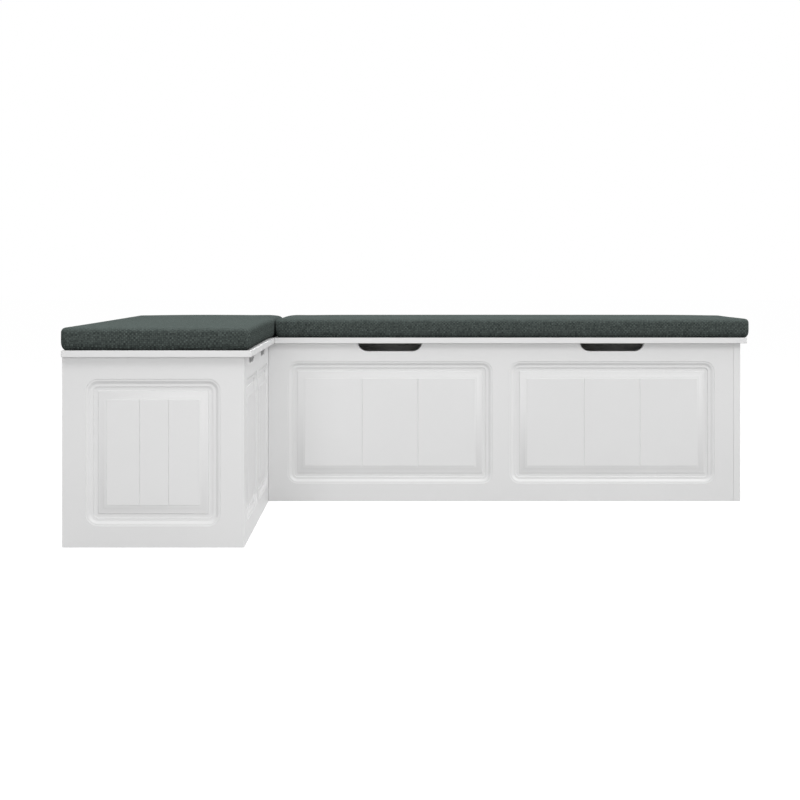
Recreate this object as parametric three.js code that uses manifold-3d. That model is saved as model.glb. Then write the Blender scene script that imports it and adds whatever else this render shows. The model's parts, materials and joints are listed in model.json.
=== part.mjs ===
// Corner storage bench: two storage boxes bolted into an L, each with a hinged lid and a seat cushion.
// Millimetres, +Z up. +X runs along the right box and +Y points at the wall behind it.
// The origin is on the floor, under the middle of the bench's own bounding box.
import * as THREE from "three";
import { mergeVertices } from "three/addons/utils/BufferGeometryUtils.js";
import Module from "manifold-3d";

const wasm = await Module();
wasm.setup();

// Overall sizes
const BOX_DEPTH = 400; // front to wall, of both boxes
const RIGHT_LENGTH = 1250; // right box, from the inner corner to its free end
const LEFT_REACH = 800; // how far the left box stands out in front of the right box
const BODY_HEIGHT = 418; // floor to the top of the boxes

// Boards
const PANEL_T = 18; // raised panels and the boards that carry the hinges
const BOARD_T = 15; // plain boards
const LID_T = 15;
const LID_OVERHANG = 15; // beyond the box on every side that has no wall
const LID_EDGE_R = 2.5; // rounded upper and lower edges of the lid
const LID_EDGE_STEPS = 2;
const LID_SEAM = 2.5; // between the two lids
const BOTTOM_CLEARANCE = 30; // floor to the underside of the bottom boards
const JOINT = 0.3; // hairline between pieces that rest on or meet each other

// Routed frames on the raised panels
const FRAME_SIDE = 50; // panel edge to frame, on the front panels
const END_FRAME_SIDE = 52; // the same, on the end panels
const FRAME_GAP = 46; // between two frames
const FRAME_FOOT = 47; // below a frame
const FRAME_HEAD = 48; // above a frame
const FRAME_CORNER_R = 27;
const CORNER_STEPS = 5;

// Routed moulding: insets from the frame's outer edge, and depths below the panel's face
const LINE_INSET = 3.5;
const LINE_DEPTH = 1;
const OGEE_INSET = 11;
const OGEE_DEPTH = 6;
const BEAD_INSET = 15.5;
const STEP_INSET = 16.3;
const GROOVE_DEPTH = 7.5;
const GROOVE_INSET = 28.4;
const BEVEL_STEP = 0.6; // small rise where the bevel starts
const FIELD_INSET = 50;
const FIELD_DEPTH = 1.2;
const BEVEL_HOLLOW = 1.8; // power of the bevel's curve, over 1 for a hollow one
const CURVE_STEPS = 4;
const VEE_WIDTH = 2.6; // fine upright grooves that split the field in three
const VEE_DEPTH = 1.3;
const VEE_RUN_OUT = 4; // how far they run past the field, over its bevel
const BOARDS_IN_FIELD = 3;

// Finger cutouts in the top edge of the front panels
const CUTOUT_FLAT = 110;
const CUTOUT_DEPTH = 21;
const CUTOUT_R = 30;
const CUTOUT_STEPS = 5;

// Cushions
const CUSHION_EDGE = 50; // height where the side turns into the top
const CUSHION_CROWN = 3.6; // rise of the top from there to the plateau
const CUSHION_PROUD = 2.5; // how far its corners stand out beyond the lid
const CUSHION_PROUD_END = 5.5; // the same at the right cushion's free end
const CUSHION_PROUD_SEAM = 1; // the same on the left cushion's inner side, which meets the other
const CUSHION_DRAW_IN = 2.5; // how far each side is drawn in at its middle
const CUSHION_PLAN_R = 18;
const CUSHION_FOOT_IN = 9; // how far the underside lies inside the side
const CUSHION_FOOT_RISE = 20; // height at which the side is fullest
const CUSHION_TOP_R = 12;
const CROWN_SHARE = 0.76; // how much of the way to the middle the top goes on rising
const PLATEAU_ROUNDING = 0.85; // the plateau's corners, as a share of half its width
const CUSHION_SIDE_STEPS = [10, 5]; // along the long and the short sides
const ROLL_STEPS = 4;
const CROWN_STEPS = 4;

// Butt hinges
const HINGES_PER_LID = 3;
const HINGE_LENGTH = 60;
const HINGE_INSET = 140; // end of the lid to the end of its outer hinges
const LEAF_DEPTH = 14;
const LEAF_T = 1.5;
const KNUCKLES = 5;
const KNUCKLE_R = 3;
const KNUCKLE_BORE_R = 1.6;
const KNUCKLE_SIDES = 12;
const PIN_R = 1.35;
const PIN_HEAD_R = 2.4;
const PIN_HEAD_T = 1;

// Inside: battens under the bottom boards, corner blocks, and the bolts between the boxes
const BATTEN_T = 20;
const BATTEN_FLOOR_GAP = 4;
const BLOCK_SIDE = 22;
const BLOCK_HEIGHT = 40;
const BLOCK_CHAMFER = 9;
const BLOCK_BELOW_TOP = 70; // top of the box to the top of a corner block
const BOLT_INSET = 110; // from the front for the front bolts, from the wall behind for the others
const BOLT_FOOT = 130; // floor to the lower bolts
const BOLT_BELOW_TOP = 88; // top of the box to the upper bolts
const BOLT_R = 2.8;
const BOLT_HEAD_R = 8;
const BOLT_HEAD_T = 2.5;
const BOLT_BITE = 18; // how far the bolt runs into its sleeve nut
const SLEEVE_R = 4;
const SLEEVE_BORE_R = 3.3;
const SLEEVE_HOLE_R = 4.6;
const TURNED_SIDES = 12;

const OVERCUT = 1; // how far a cutter runs past the face that it opens
const LEAST_R = 1; // of a round corner that shrinks inwards
const WELD = 1e-4; // distance under which two corners of a skin are one

const LEFT_LENGTH = LEFT_REACH + BOX_DEPTH;
const LID_Z = BODY_HEIGHT + JOINT;
const CUSHION_Z = LID_Z + LID_T + JOINT;
const BOTTOM_TOP = BOTTOM_CLEARANCE + BOARD_T;
const AXIS_Y = BOX_DEPTH + KNUCKLE_R + JOINT;
const AXIS_Z = BODY_HEIGHT + JOINT / 2;

const white = new THREE.MeshStandardMaterial({ color: 0xdcdcdc, roughness: 0.42, metalness: 0 });
const cloth = new THREE.MeshStandardMaterial({ color: 0x45504c, roughness: 0.95, metalness: 0 });
const pine = new THREE.MeshStandardMaterial({ color: 0xc9a777, roughness: 0.7, metalness: 0 });
const plastic = new THREE.MeshStandardMaterial({ color: 0xe4e4e0, roughness: 0.5, metalness: 0 });
const steel = new THREE.MeshStandardMaterial({ color: 0xb4b6b8, roughness: 0.35, metalness: 1 });

// A closed geometry as a solid that can be joined and cut.
function toSolid(geometry) {
  const bare = geometry.clone();
  bare.deleteAttribute("normal");
  bare.deleteAttribute("uv");
  const merged = mergeVertices(bare, WELD);
  const vertProperties = merged.getAttribute("position").array;
  const triVerts = new Uint32Array(merged.index.array);
  return new wasm.Manifold(new wasm.Mesh({ numProp: 3, vertProperties, triVerts }));
}

function toGeometry(solid) {
  const { vertProperties, triVerts } = solid.getMesh();
  const geometry = new THREE.BufferGeometry();
  geometry.setAttribute("position", new THREE.BufferAttribute(vertProperties, 3));
  geometry.setIndex(new THREE.BufferAttribute(triVerts, 1));
  geometry.computeVertexNormals();
  return geometry;
}

function cutFrom(geometry, cutters) {
  return cutters.reduce((solid, cutter) => solid.subtract(toSolid(cutter)), toSolid(geometry));
}

function joined(geometries) {
  return geometries.map(toSolid).reduce((sum, solid) => sum.add(solid));
}

function mesh(name, geometry, material) {
  const made = new THREE.Mesh(geometry, material);
  made.name = name;
  return made;
}

// A block from its lowest corner to its highest.
function block(low, high) {
  const [w, d, h] = high.map((value, i) => value - low[i]);
  const geometry = new THREE.BoxGeometry(w, d, h);
  return geometry.translate(low[0] + w / 2, low[1] + d / 2, low[2] + h / 2);
}

// A plain board, with its mesh at its own middle and its cutters given in its box's frame.
function board(name, low, high, cutters = [], material = white) {
  const whole = block(low, high);
  const geometry = cutters.length ? toGeometry(cutFrom(whole, cutters)) : whole;
  const middle = low.map((value, i) => (value + high[i]) / 2);
  geometry.translate(-middle[0], -middle[1], -middle[2]);
  const made = mesh(name, geometry, material);
  made.position.set(...middle);
  return made;
}

// A closed skin over outlines that have the same number of points, from the lowest to the highest.
function loft(outlines) {
  const count = outlines[0].length;
  const index = [];
  for (let ring = 0; ring + 1 < outlines.length; ring += 1) {
    for (let i = 0; i < count; i += 1) {
      const a = ring * count + i;
      const b = ring * count + ((i + 1) % count);
      index.push(a, b, b + count, a, b + count, a + count);
    }
  }
  const top = (outlines.length - 1) * count;
  for (let i = 1; i + 1 < count; i += 1) {
    index.push(0, i + 1, i, top, top + i, top + i + 1);
  }
  const geometry = new THREE.BufferGeometry().setFromPoints(outlines.flat());
  return geometry.setIndex(index);
}

// A rectangle with round corners at height z, anticlockwise, drawn in at the middle of its sides.
function roundedOutline(low, high, radius, z, steps, sideSteps = [1, 1], drawIn = 0) {
  const centres = [
    [high[0] - radius, high[1] - radius],
    [low[0] + radius, high[1] - radius],
    [low[0] + radius, low[1] + radius],
    [high[0] - radius, low[1] + radius],
  ];
  const points = [];
  centres.forEach(([x, y], corner) => {
    for (let i = 0; i <= steps; i += 1) {
      const angle = (corner + i / steps) * (Math.PI / 2);
      points.push(new THREE.Vector3(x + radius * Math.cos(angle), y + radius * Math.sin(angle), z));
    }
    const start = points[points.length - 1];
    const [nextX, nextY] = centres[(corner + 1) % 4];
    const turned = (corner + 1) * (Math.PI / 2);
    const outward = new THREE.Vector3(Math.cos(turned), Math.sin(turned), 0);
    const end = new THREE.Vector3(nextX, nextY, z).addScaledVector(outward, radius);
    const count = sideSteps[corner % 2];
    for (let i = 1; i < count; i += 1) {
      const share = i / count;
      const pulled = drawIn * Math.sin(Math.PI * share);
      points.push(start.clone().lerp(end, share).addScaledVector(outward, -pulled));
    }
  });
  return points;
}

function squareOutline(low, high, z) {
  return [
    new THREE.Vector3(high[0], high[1], z),
    new THREE.Vector3(low[0], high[1], z),
    new THREE.Vector3(low[0], low[1], z),
    new THREE.Vector3(high[0], low[1], z),
  ];
}

// The routed channel inside a frame's outer edge, as a cutter that stands out of the panel's face.
function channelCutter({ low, high }) {
  const profile = [[GROOVE_INSET, GROOVE_DEPTH], [STEP_INSET, GROOVE_DEPTH], [BEAD_INSET, OGEE_DEPTH]];
  for (let i = CURVE_STEPS; i >= 0; i -= 1) {
    const t = i / CURVE_STEPS;
    const ease = t * t * (3 - 2 * t);
    const inset = LINE_INSET + (OGEE_INSET - LINE_INSET) * t;
    profile.push([inset, LINE_DEPTH + (OGEE_DEPTH - LINE_DEPTH) * ease]);
  }
  profile.push([0, LINE_DEPTH], [0, -OVERCUT]);
  return loft(profile.map(([inset, depth]) => {
    const from = low.map((value) => value + inset);
    const to = high.map((value) => value - inset);
    const radius = Math.max(FRAME_CORNER_R - inset, LEAST_R);
    return roundedOutline(from, to, radius, -depth, CORNER_STEPS);
  }));
}

// The raised field with its hollow bevel, which stands on the channel's floor.
function raisedField({ low, high }) {
  const profile = [[GROOVE_INSET, GROOVE_DEPTH + OVERCUT]];
  const start = GROOVE_DEPTH - BEVEL_STEP;
  for (let i = 0; i <= CURVE_STEPS; i += 1) {
    const t = i / CURVE_STEPS;
    const inset = GROOVE_INSET + (FIELD_INSET - GROOVE_INSET) * t;
    profile.push([inset, start - (start - FIELD_DEPTH) * t ** BEVEL_HOLLOW]);
  }
  return loft(profile.map(([inset, depth]) => {
    const from = low.map((value) => value + inset);
    const to = high.map((value) => value - inset);
    return squareOutline(from, to, -depth);
  }));
}

// The fine upright grooves, cut through the field until they run out on its bevel.
function veeCutters({ low, high }) {
  const fieldLow = low.map((value) => value + FIELD_INSET);
  const fieldHigh = high.map((value) => value - FIELD_INSET);
  const pitch = (fieldHigh[0] - fieldLow[0]) / BOARDS_IN_FIELD;
  const vee = new THREE.Shape();
  vee.moveTo(0, -FIELD_DEPTH - VEE_DEPTH);
  vee.lineTo(VEE_WIDTH, VEE_DEPTH - FIELD_DEPTH);
  vee.lineTo(-VEE_WIDTH, VEE_DEPTH - FIELD_DEPTH);
  const depth = fieldHigh[1] - fieldLow[1] + 2 * VEE_RUN_OUT;
  const cutters = [];
  for (let i = 1; i < BOARDS_IN_FIELD; i += 1) {
    const cutter = new THREE.ExtrudeGeometry(vee, { depth, bevelEnabled: false });
    cutter.rotateX(Math.PI / 2);
    cutters.push(cutter.translate(fieldLow[0] + i * pitch, fieldHigh[1] + VEE_RUN_OUT, 0));
  }
  return cutters;
}

// The finger cutout over the middle of a frame: a flat foot between two arcs, open at the top edge.
function fingerCutter({ low, high }) {
  const half = CUTOUT_FLAT / 2;
  const centreY = CUTOUT_R - CUTOUT_DEPTH;
  const end = Math.asin((OVERCUT - centreY) / CUTOUT_R);
  const shape = new THREE.Shape();
  shape.absarc(half, centreY, CUTOUT_R, -Math.PI / 2, end);
  shape.absarc(-half, centreY, CUTOUT_R, Math.PI - end, 1.5 * Math.PI);
  const settings = { depth: PANEL_T + 2 * OVERCUT, bevelEnabled: false, curveSegments: CUTOUT_STEPS };
  const cutter = new THREE.ExtrudeGeometry(shape, settings);
  return cutter.translate((low[0] + high[0]) / 2, BODY_HEIGHT, -PANEL_T - OVERCUT);
}

// A raised panel in its own frame: X along it, Y up it, its face at Z = 0.
function raisedPanel(name, width, sideMargin, frameCount, hasCutouts) {
  const frameWidth = (width - 2 * sideMargin - (frameCount - 1) * FRAME_GAP) / frameCount;
  let solid = toSolid(block([0, 0, -PANEL_T], [width, BODY_HEIGHT, 0]));
  for (let i = 0; i < frameCount; i += 1) {
    const left = sideMargin + i * (frameWidth + FRAME_GAP);
    const frame = { low: [left, FRAME_FOOT], high: [left + frameWidth, BODY_HEIGHT - FRAME_HEAD] };
    solid = solid.subtract(toSolid(channelCutter(frame))).add(toSolid(raisedField(frame)));
    const cutters = hasCutouts ? [...veeCutters(frame), fingerCutter(frame)] : veeCutters(frame);
    cutters.forEach((cutter) => {
      solid = solid.subtract(toSolid(cutter));
    });
  }
  return mesh(name, toGeometry(solid), white);
}

// Stands a raised panel up in its box, facing the front and then turned by quarters about Z.
function stand(panel, x, y, quarters = 0) {
  panel.rotation.set(Math.PI / 2, 0, quarters * (Math.PI / 2), "ZYX");
  panel.position.set(x, y, 0);
  return panel;
}

// A turned piece along X from a profile of radii and places, closed on its axis.
function turned(profile, sides) {
  const points = profile.map(([radius, along]) => new THREE.Vector2(radius, along));
  return new THREE.LatheGeometry(points, sides).rotateZ(-Math.PI / 2);
}

function rod(radius, from, to, sides) {
  return turned([[0, from], [radius, from], [radius, to], [0, to]], sides);
}

// The let-in seat of a hinge leaf, open at the board's back edge.
function leafSeat(x, low, high) {
  const from = [x - JOINT, BOX_DEPTH - LEAF_DEPTH - JOINT, low];
  return block(from, [x + HINGE_LENGTH + JOINT, BOX_DEPTH + OVERCUT, high]);
}

// One leaf: a plate, and a barrel with its tongue for every second knuckle.
function hingeLeaf(name, x, plateZ, firstKnuckle) {
  const pitch = HINGE_LENGTH / KNUCKLES;
  const top = plateZ + LEAF_T;
  const pieces = [block([x, BOX_DEPTH - LEAF_DEPTH, plateZ], [x + HINGE_LENGTH, BOX_DEPTH, top])];
  for (let i = firstKnuckle; i < KNUCKLES; i += 2) {
    const from = x + i * pitch + JOINT / 2;
    const to = from + pitch - JOINT;
    pieces.push(block([from, BOX_DEPTH - OVERCUT, plateZ], [to, AXIS_Y, top]));
    pieces.push(rod(KNUCKLE_R, from, to, KNUCKLE_SIDES).translate(0, AXIS_Y, AXIS_Z));
  }
  const bore = rod(KNUCKLE_BORE_R, x - OVERCUT, x + HINGE_LENGTH + OVERCUT, KNUCKLE_SIDES);
  const solid = joined(pieces).subtract(toSolid(bore.translate(0, AXIS_Y, AXIS_Z)));
  return mesh(name, toGeometry(solid), steel);
}

function hingePin(name, x) {
  const from = x - JOINT / 2;
  const to = x + HINGE_LENGTH + JOINT / 2;
  const profile = [
    [0, from - PIN_HEAD_T], [PIN_HEAD_R, from - PIN_HEAD_T], [PIN_HEAD_R, from], [PIN_R, from],
    [PIN_R, to], [PIN_HEAD_R, to], [PIN_HEAD_R, to + PIN_HEAD_T], [0, to + PIN_HEAD_T],
  ];
  return mesh(name, turned(profile, KNUCKLE_SIDES).translate(0, AXIS_Y, AXIS_Z), steel);
}

// The near ends of a lid's hinges, spread evenly between its two ends.
function hingePlaces(lidFrom, lidTo) {
  const first = lidFrom + HINGE_INSET;
  const last = lidTo - HINGE_INSET - HINGE_LENGTH;
  const pitch = (last - first) / (HINGES_PER_LID - 1);
  return Array.from({ length: HINGES_PER_LID }, (_, i) => first + i * pitch);
}

// A lid with rounded edges, over its box and beyond it at the front.
function lid(name, from, to, places) {
  const low = [from + LID_EDGE_R, LID_EDGE_R - LID_OVERHANG];
  const high = [to - LID_EDGE_R, BOX_DEPTH - LID_EDGE_R];
  const shape = new THREE.Shape(squareOutline(low, high, 0));
  const slab = new THREE.ExtrudeGeometry(shape, {
    depth: LID_T - 2 * LID_EDGE_R,
    bevelThickness: LID_EDGE_R,
    bevelSize: LID_EDGE_R,
    bevelSegments: LID_EDGE_STEPS,
  });
  slab.translate(0, 0, LID_Z + LID_EDGE_R);
  const seats = places.map((x) => leafSeat(x, LID_Z - OVERCUT, LID_Z + LEAF_T + JOINT));
  return mesh(name, toGeometry(cutFrom(slab, seats)), white);
}

// A box cushion: its sides swell above the underside and roll over into a crowned top.
function cushion(name, low, high) {
  const profile = [];
  for (let i = 0; i <= ROLL_STEPS; i += 1) {
    const angle = (i / ROLL_STEPS) * (Math.PI / 2);
    profile.push([CUSHION_FOOT_IN * (1 - Math.sin(angle)), CUSHION_FOOT_RISE * (1 - Math.cos(angle))]);
  }
  for (let i = 0; i <= ROLL_STEPS; i += 1) {
    const angle = (i / ROLL_STEPS) * (Math.PI / 2);
    const height = CUSHION_EDGE - CUSHION_TOP_R * (1 - Math.sin(angle));
    profile.push([CUSHION_TOP_R * (1 - Math.cos(angle)), height]);
  }
  const toMiddle = Math.min(high[0] - low[0], high[1] - low[1]) / 2 - CUSHION_TOP_R;
  const crownWidth = toMiddle * CROWN_SHARE;
  const plateauR = (toMiddle - crownWidth) * PLATEAU_ROUNDING;
  for (let i = 1; i <= CROWN_STEPS; i += 1) {
    const share = i / CROWN_STEPS;
    const height = CUSHION_EDGE + CUSHION_CROWN * Math.sin(share * (Math.PI / 2));
    profile.push([CUSHION_TOP_R + crownWidth * share, height]);
  }
  const skin = loft(profile.map(([inset, height]) => {
    const inCrown = Math.max(inset - CUSHION_TOP_R, 0) / crownWidth;
    const edgeR = CUSHION_PLAN_R - Math.min(inset, CUSHION_TOP_R);
    const radius = edgeR + (plateauR - edgeR) * inCrown;
    const drawIn = CUSHION_DRAW_IN * (1 - inCrown);
    const from = low.map((value) => value + inset);
    const to = high.map((value) => value - inset);
    return roundedOutline(from, to, radius, height, CORNER_STEPS, CUSHION_SIDE_STEPS, drawIn);
  }));
  return mesh(name, skin.translate(0, 0, CUSHION_Z), cloth);
}

// A plastic block in an upright corner, turned by quarters about Z.
function cornerBlock(name, x, y, quarters) {
  const shape = new THREE.Shape();
  shape.moveTo(0, 0);
  shape.lineTo(BLOCK_SIDE, 0);
  shape.lineTo(BLOCK_SIDE, BLOCK_SIDE - BLOCK_CHAMFER);
  shape.lineTo(BLOCK_SIDE - BLOCK_CHAMFER, BLOCK_SIDE);
  shape.lineTo(0, BLOCK_SIDE);
  const geometry = new THREE.ExtrudeGeometry(shape, { depth: BLOCK_HEIGHT, bevelEnabled: false });
  const made = mesh(name, geometry, plastic);
  made.rotation.z = quarters * (Math.PI / 2);
  made.position.set(x, y, BODY_HEIGHT - BLOCK_BELOW_TOP - BLOCK_HEIGHT);
  return made;
}

// What both boxes have: back, bottom, divider, battens, corner blocks, lid, cushion and hinges.
function storageBox(side, { inner, outer, divider, lidSpan, cushionSpan, frontProud }) {
  const box = new THREE.Group();
  const seat = new THREE.Group();
  const places = hingePlaces(...lidSpan);
  const seats = places.map((x) => leafSeat(x, BODY_HEIGHT - LEAF_T - JOINT, BODY_HEIGHT + OVERCUT));
  const frontY = PANEL_T + JOINT;
  const backY = BOX_DEPTH - PANEL_T - JOINT;
  const [x0, x1] = inner;
  box.add(board(side + "_back_board", [outer[0], BOX_DEPTH - PANEL_T, 0],
    [outer[1], BOX_DEPTH, BODY_HEIGHT], seats));
  box.add(board(side + "_bottom_board", [x0, frontY, BOTTOM_CLEARANCE], [x1, backY, BOTTOM_TOP]));
  box.add(board(side + "_divider", [divider, frontY, BOTTOM_TOP + JOINT],
    [divider + BOARD_T, backY, BODY_HEIGHT]));
  [["front", frontY], ["back", backY - BATTEN_T]].forEach(([where, y]) => {
    const high = [x1, y + BATTEN_T, BOTTOM_CLEARANCE - JOINT];
    box.add(board(side + "_batten_" + where, [x0, y, BATTEN_FLOOR_GAP], high, [], pine));
  });
  [[x0, frontY], [x1, frontY], [x1, backY], [x0, backY]].forEach(([x, y], i) => {
    box.add(cornerBlock(side + "_corner_block_" + (i + 1), x, y, i));
  });
  seat.add(lid(side + "_lid", ...lidSpan, places));
  const cushionLow = [cushionSpan[0], -LID_OVERHANG - frontProud];
  seat.add(cushion(side + "_cushion", cushionLow, [cushionSpan[1], BOX_DEPTH + CUSHION_PROUD]));
  places.forEach((x, i) => {
    const hinge = side + "_hinge_" + (i + 1);
    box.add(hingeLeaf(hinge + "_box_leaf", x, BODY_HEIGHT - LEAF_T, 0));
    box.add(hingePin(hinge + "_pin", x));
    seat.add(hingeLeaf(hinge + "_lid_leaf", x, LID_Z, 1));
  });
  return box.add(seat);
}

// A hole through a board for a sleeve nut, along X.
function sleeveHole(from, to) {
  return rod(SLEEVE_HOLE_R, from - OVERCUT, to + OVERCUT, TURNED_SIDES);
}

// The bolts' insets from the wall behind, and their heights.
function boltPlaces() {
  const heights = [BOLT_FOOT, BODY_HEIGHT - BOLT_BELOW_TOP];
  return [BOLT_INSET, BOX_DEPTH - BOLT_INSET].flatMap((inset) => heights.map((z) => [inset, z]));
}

// The right box: raised front, raised free end at its far right, and a plain side against the left box.
function rightBox() {
  const frontEnd = RIGHT_LENGTH - PANEL_T;
  const sideEnd = JOINT + BOARD_T;
  const box = storageBox("right", {
    inner: [sideEnd + JOINT, frontEnd - JOINT],
    outer: [JOINT, frontEnd - JOINT],
    divider: (frontEnd - BOARD_T) / 2,
    lidSpan: [LID_OVERHANG + LID_SEAM, RIGHT_LENGTH + LID_OVERHANG],
    cushionSpan: [LID_OVERHANG + LID_SEAM, RIGHT_LENGTH + LID_OVERHANG + CUSHION_PROUD_END],
    frontProud: CUSHION_PROUD,
  });
  const front = raisedPanel("right_front_panel", frontEnd - 2 * JOINT, FRAME_SIDE, 2, true);
  box.add(stand(front, JOINT, 0));
  const end = raisedPanel("right_end_panel", BOX_DEPTH, END_FRAME_SIDE, 1, false);
  box.add(stand(end, RIGHT_LENGTH, 0, 1));
  const holes = boltPlaces().map(([inset, z]) => {
    return sleeveHole(JOINT, sideEnd).translate(0, BOX_DEPTH - inset, z);
  });
  const low = [JOINT, PANEL_T + JOINT, 0];
  const high = [sideEnd, BOX_DEPTH - PANEL_T - JOINT, BODY_HEIGHT];
  return box.add(board("right_side_board", low, high, holes));
}

// The left box: raised front as far as the right box, plain corner and rear boards behind it.
function leftBox() {
  const rearStart = LEFT_LENGTH - BOARD_T;
  const box = storageBox("left", {
    inner: [PANEL_T + JOINT, rearStart - JOINT],
    outer: [PANEL_T + JOINT, LEFT_LENGTH],
    divider: LEFT_REACH - BOARD_T,
    lidSpan: [-LID_OVERHANG, LEFT_LENGTH],
    cushionSpan: [-LID_OVERHANG - CUSHION_PROUD, LEFT_LENGTH + CUSHION_PROUD],
    frontProud: CUSHION_PROUD_SEAM,
  });
  const frontWidth = LEFT_REACH - PANEL_T - JOINT;
  const front = raisedPanel("left_front_panel", frontWidth, FRAME_SIDE, 2, true);
  box.add(stand(front, PANEL_T + JOINT, 0));
  const end = raisedPanel("left_end_panel", BOX_DEPTH, END_FRAME_SIDE, 1, false);
  box.add(stand(end, 0, BOX_DEPTH, -1));
  const holes = boltPlaces().map(([inset, z]) => {
    return sleeveHole(0, BOARD_T).rotateZ(Math.PI / 2).translate(LEFT_LENGTH - inset, 0, z);
  });
  const cornerHigh = [rearStart - JOINT, BOARD_T, BODY_HEIGHT];
  box.add(board("left_corner_board", [LEFT_REACH + JOINT, 0, 0], cornerHigh, holes));
  const rearHigh = [LEFT_LENGTH, BOX_DEPTH - PANEL_T - JOINT, BODY_HEIGHT];
  return box.add(board("left_rear_board", [rearStart, 0, 0], rearHigh));
}

// The bolts and sleeve nuts that hold the boxes together, along X through both side boards.
function boxBolts() {
  const bolts = new THREE.Group();
  const nutFace = -BOARD_T - JOINT;
  const boltFace = BOARD_T + 2 * JOINT;
  const boltTip = boltFace - BOLT_BITE;
  const nut = [
    [0, nutFace - BOLT_HEAD_T], [BOLT_HEAD_R, nutFace - BOLT_HEAD_T], [BOLT_HEAD_R, nutFace],
    [SLEEVE_R, nutFace], [SLEEVE_R, BOARD_T], [SLEEVE_BORE_R, BOARD_T],
    [SLEEVE_BORE_R, boltTip - OVERCUT], [0, boltTip - OVERCUT],
  ];
  const bolt = [
    [0, boltTip], [BOLT_R, boltTip], [BOLT_R, boltFace],
    [BOLT_HEAD_R, boltFace], [BOLT_HEAD_R, boltFace + BOLT_HEAD_T], [0, boltFace + BOLT_HEAD_T],
  ];
  boltPlaces().forEach(([inset, z], i) => {
    [["box_bolt_", bolt], ["box_sleeve_nut_", nut]].forEach(([name, profile]) => {
      const made = mesh(name + (i + 1), turned(profile, TURNED_SIDES), steel);
      made.position.set(0, BOX_DEPTH - inset, z);
      bolts.add(made);
    });
  });
  return bolts;
}

const right = rightBox().add(boxBolts());
const left = leftBox();
left.rotation.z = Math.PI / 2;
left.position.set(0, BOX_DEPTH - LEFT_LENGTH, 0);

const bench = new THREE.Group().add(left, right);
const bounds = new THREE.Box3().setFromObject(bench);
const middle = bounds.getCenter(new THREE.Vector3());
bench.position.set(-middle.x, -middle.y, 0);

export default bench;
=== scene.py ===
"""Corner storage bench: two white boxes in an L, with routed fronts, hinged lids and woven cushions."""

import json
import math

import bmesh
import bpy
import numpy as np
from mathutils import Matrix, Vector
from mathutils.kdtree import KDTree

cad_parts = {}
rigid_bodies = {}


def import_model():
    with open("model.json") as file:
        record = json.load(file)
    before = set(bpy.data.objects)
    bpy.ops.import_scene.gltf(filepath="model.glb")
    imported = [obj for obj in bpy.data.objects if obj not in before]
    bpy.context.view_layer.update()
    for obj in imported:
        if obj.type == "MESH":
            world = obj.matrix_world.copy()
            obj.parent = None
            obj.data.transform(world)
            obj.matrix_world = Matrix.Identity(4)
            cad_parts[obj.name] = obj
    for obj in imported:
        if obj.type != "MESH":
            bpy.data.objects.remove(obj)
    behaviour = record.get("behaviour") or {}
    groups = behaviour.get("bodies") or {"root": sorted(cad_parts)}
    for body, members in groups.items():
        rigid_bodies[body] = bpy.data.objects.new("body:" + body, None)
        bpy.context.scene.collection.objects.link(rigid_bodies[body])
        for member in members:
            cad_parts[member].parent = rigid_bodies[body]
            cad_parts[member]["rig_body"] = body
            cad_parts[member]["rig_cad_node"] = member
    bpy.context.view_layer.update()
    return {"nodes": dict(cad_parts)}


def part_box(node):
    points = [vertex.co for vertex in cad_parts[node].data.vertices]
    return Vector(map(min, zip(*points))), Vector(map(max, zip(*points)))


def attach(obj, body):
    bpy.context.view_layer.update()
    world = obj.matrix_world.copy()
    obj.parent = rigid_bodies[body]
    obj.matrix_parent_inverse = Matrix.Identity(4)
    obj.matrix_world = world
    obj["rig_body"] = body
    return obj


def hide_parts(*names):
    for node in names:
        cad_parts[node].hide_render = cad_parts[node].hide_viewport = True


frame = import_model()

MM = 0.001
OVERCUT = 1 * MM  # how far a cutter runs past the face that it opens
TOUCH = 0.01 * MM  # points nearer than this count as one
TINY = 1e-9  # keeps a divisor above nought
SHARP_ANGLE = 50  # degrees, from which an edge is rounded
SMOOTH_ANGLE = 40  # degrees, up to which two faces are shaded as one

# The photograph's camera: level, straight along the bench's depth
CAMERA_PLACE = (-0.1183, -4.4684, 0.5964)
CAMERA_LENS = 79.36
CAMERA_SHIFT = (0.01625, -0.155)

# Routed frames on the raised panels, at the same places as on the solids
FRAME_SIDE = {"front": 50 * MM, "end": 52 * MM}
FRAME_GAP = 46 * MM
FRAME_FOOT = 47 * MM
FRAME_HEAD = 48 * MM
FRAME_CORNER_R = 27 * MM
CORNER_SEGMENTS = 14

# Moulding: insets from the frame's outline, and depths below the panel's face
SHELF_DEPTH = 1.3 * MM
OGEE_FROM = 4 * MM
OGEE_TO = 11 * MM
OGEE_DEPTH = 4.9 * MM
BEAD_TO = 16.6 * MM
WALL_RUN = 0.5 * MM  # how far each small wall leans
GROOVE_DEPTH = 7.4 * MM
BEVEL_FROM = 26 * MM
BEVEL_STEP = 1.6 * MM
BEVEL_RUN = 1 * MM  # how far the bevel's first wall leans
FILLET_FROM = 39.5 * MM
FILLET_DEPTH = 2.7 * MM
FILLET_STEP = 0.5 * MM
FILLET_SLOPE = 0.7 * MM
FIELD_INSET = 46 * MM
FIELD_DEPTH = 0.9 * MM
BEVEL_HOLLOW = 1.3  # the power of its curve, over 1 for a hollow one
OGEE_EASE = 0.4  # the share of its slope that is S-shaped
OGEE_SEGMENTS = 10
BEVEL_SEGMENTS = 8
VEE_DEPTH = 1.1 * MM
VEE_RUN_OUT = 4 * MM
VEE_BAR = 10 * MM  # half the diagonal of the bar that cuts a groove
VEE_SHARES = {"front": (0.336, 0.664), "end": (0.352, 0.665)}  # across the field

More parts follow.
